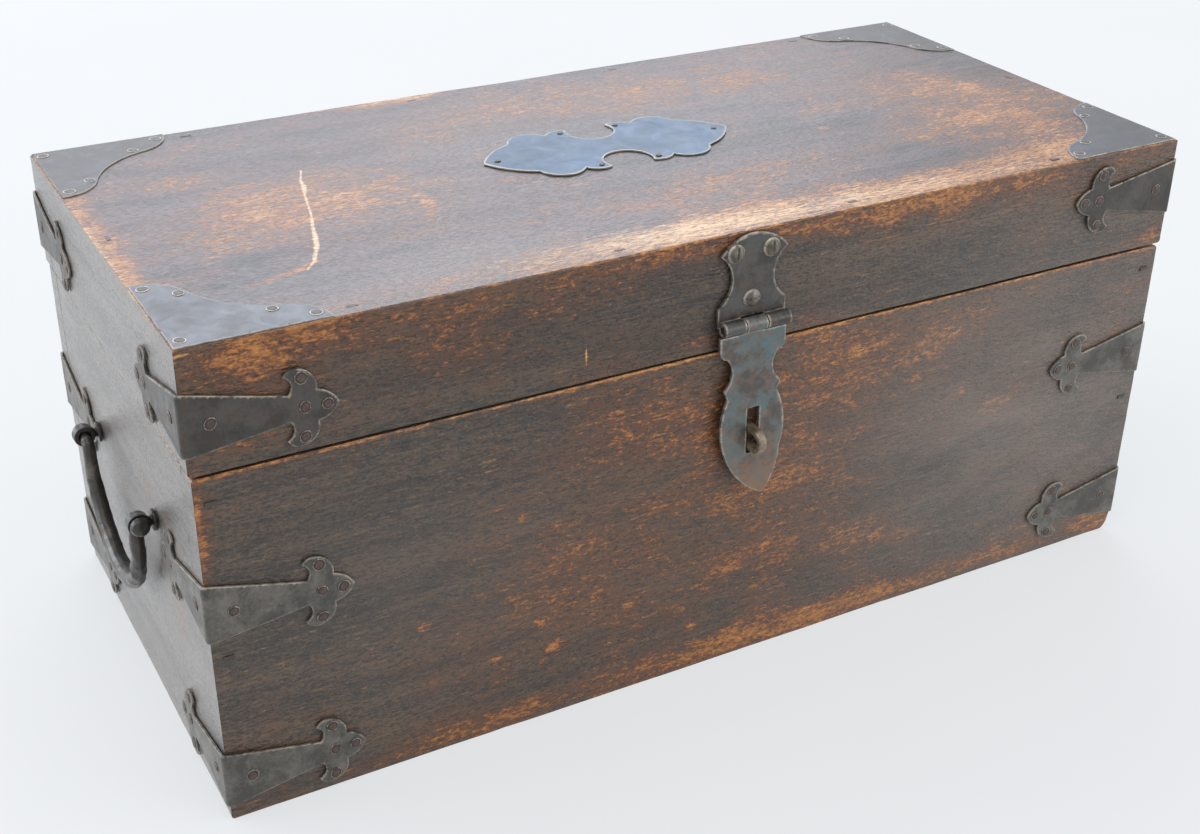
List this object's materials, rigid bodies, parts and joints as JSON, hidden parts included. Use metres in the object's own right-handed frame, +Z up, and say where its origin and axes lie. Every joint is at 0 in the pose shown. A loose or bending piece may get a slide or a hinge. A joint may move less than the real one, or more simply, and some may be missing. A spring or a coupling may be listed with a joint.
{
  "type": "iron-bound wooden chest",
  "caption": "Small dark hardwood strongbox with a lift-up lid, iron corner straps and plates, a hasp and staple, and a drop handle at each end.",
  "frame": {"origin": "centre of the underside, on the surface the chest stands on", "axes": "+Z up; +X along the length, towards the chest's right end seen from the front; the front with the hasp faces -Y"},
  "size_m": [0.4786, 0.2328, 0.2054],
  "materials": {
    "hardwood": "dark stained hardwood, worn and waxed",
    "sheet_iron": "oxidised sheet iron, dusty edges",
    "forged_iron": "hand-forged iron, dark and slightly shiny",
    "nail_iron": "forged nail heads and screws, a little rust",
    "hasp_iron": "plate iron with blue-green patina",
    "blued_sheet": "smooth blued sheet with worn rim"
  },
  "bodies": {
    "base": {"base_back_board": "hardwood", "base_board_nails": "nail_iron", "base_bottom_board": "hardwood", "base_front_board": "hardwood", "base_hinge_screws": "nail_iron", "base_left_end": "hardwood", "base_low_strap_back_left": "sheet_iron", "base_low_strap_back_right": "sheet_iron", "base_low_strap_front_left": "sheet_iron", "base_low_strap_front_right": "sheet_iron", "base_mid_strap_back_left": "sheet_iron", "base_mid_strap_back_right": "sheet_iron", "base_mid_strap_front_left": "sheet_iron", "base_mid_strap_front_right": "sheet_iron", "base_right_end": "hardwood", "base_strap_nails": "nail_iron", "hasp_staple": "hasp_iron", "left_handle_back_eye": "forged_iron", "left_handle_collars": "forged_iron", "left_handle_front_eye": "forged_iron", "left_hinge_base_leaf": "sheet_iron", "right_handle_back_eye": "forged_iron", "right_handle_collars": "forged_iron", "right_handle_front_eye": "forged_iron", "right_hinge_base_leaf": "sheet_iron"},
    "lid": {"hasp_lid_plate": "hasp_iron", "hasp_pin": "hasp_iron", "hasp_screws": "nail_iron", "left_hinge_lid_leaf": "sheet_iron", "left_hinge_pin": "sheet_iron", "lid_back_rail": "hardwood", "lid_board_nails": "nail_iron", "lid_front_rail": "hardwood", "lid_hinge_screws": "nail_iron", "lid_left_rail": "hardwood", "lid_ornament": "blued_sheet", "lid_ornament_pins": "blued_sheet", "lid_plate_back_left": "sheet_iron", "lid_plate_back_right": "sheet_iron", "lid_plate_front_left": "sheet_iron", "lid_plate_front_right": "sheet_iron", "lid_plate_nails": "nail_iron", "lid_right_rail": "hardwood", "lid_strap_back_left": "sheet_iron", "lid_strap_back_right": "sheet_iron", "lid_strap_front_left": "sheet_iron", "lid_strap_front_right": "sheet_iron", "lid_strap_nails": "nail_iron", "lid_top_board": "hardwood", "right_hinge_lid_leaf": "sheet_iron", "right_hinge_pin": "sheet_iron"},
    "hasp": {"hasp_strap": "hasp_iron"},
    "left_handle": {"left_bail": "forged_iron"},
    "right_handle": {"right_bail": "forged_iron"}
  },
  "joints": [
    {"name": "lid_open", "type": "hinge", "parent": "base", "child": "lid", "pos_m": [0, 0.1101, 0.154], "axis": [-1, 0, 0], "range_deg": [0, 180]},
    {"name": "hasp_swing", "type": "hinge", "parent": "lid", "child": "hasp", "pos_m": [0.0024, -0.11, 0.1648], "axis": [-1, 0, 0], "range_deg": [-2, 175]},
    {"name": "left_handle_swing", "type": "hinge", "parent": "base", "child": "left_handle", "pos_m": [-0.2346, 0, 0.1014], "axis": [0, 0.9988, -0.0489], "range_deg": [-2, 182]},
    {"name": "right_handle_swing", "type": "hinge", "parent": "base", "child": "right_handle", "pos_m": [0.2346, 0, 0.1014], "axis": [0, -0.9988, 0.0489], "range_deg": [-2, 182]}
  ]
}
